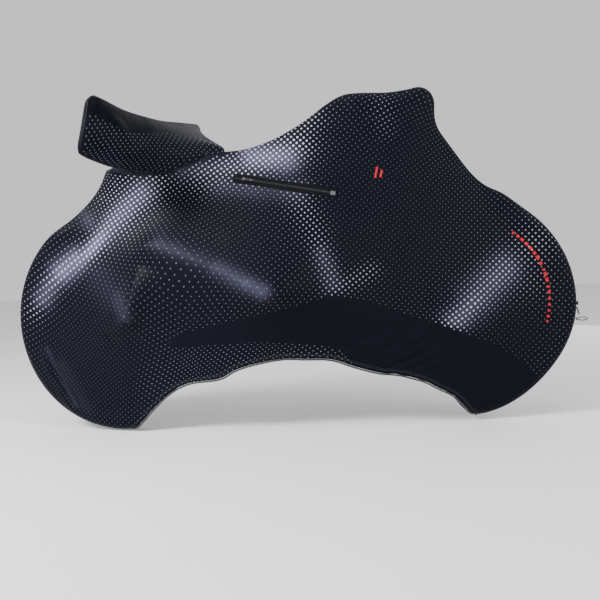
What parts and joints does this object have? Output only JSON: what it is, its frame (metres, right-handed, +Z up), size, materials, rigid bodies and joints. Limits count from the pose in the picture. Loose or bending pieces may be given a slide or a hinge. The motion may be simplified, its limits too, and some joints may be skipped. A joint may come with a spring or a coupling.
{
  "type": "fitted bicycle cover",
  "caption": "Fitted navy-black stretch cloth cover for a bicycle, printed with pale dots, with a hood for the handlebar and a short zip on the side.",
  "frame": {"origin": "underside of the cover where it rests on the saddle", "axes": "+X towards the rear wheel, +Y towards the far side, +Z up"},
  "size_m": [1.7867, 0.7145, 1.033],
  "materials": {
    "near_cloth": "smooth stretch cloth, navy-black with a faint lavender sheen, printed with pale dots",
    "far_cloth": "smooth stretch cloth, navy-black with a faint lavender sheen, printed with pale dots",
    "hood_back_cloth": "smooth stretch cloth, navy-black with a faint lavender sheen, printed with pale dots",
    "hood_front_cloth": "smooth stretch cloth, navy-black with a faint lavender sheen, printed with pale dots",
    "elastic": "matt black elastic binding",
    "zip_tape": "matt black woven tape",
    "zip_coil": "black nylon coil",
    "zip_slider": "dark grey lacquer",
    "zip_puller": "dark grey lacquer",
    "zip_end_tab": "light grey tape",
    "tail_slider": "dark lacquer",
    "tail_tab": "matt black",
    "tail_cord": "matt black braided cord"
  },
  "bodies": {
    "root": {"near_panel": "near_cloth", "far_panel": "far_cloth", "hood_back": "hood_back_cloth", "hood_front": "hood_front_cloth", "mouth_binding": "elastic", "zip_tape": "zip_tape", "zip_coil": "zip_coil", "zip_slider": "zip_slider", "zip_puller": "zip_puller", "zip_end_tab": "zip_end_tab", "tail_slider": "tail_slider", "tail_tab": "tail_tab", "tail_loop": "tail_cord"}
  },
  "joints": []
}
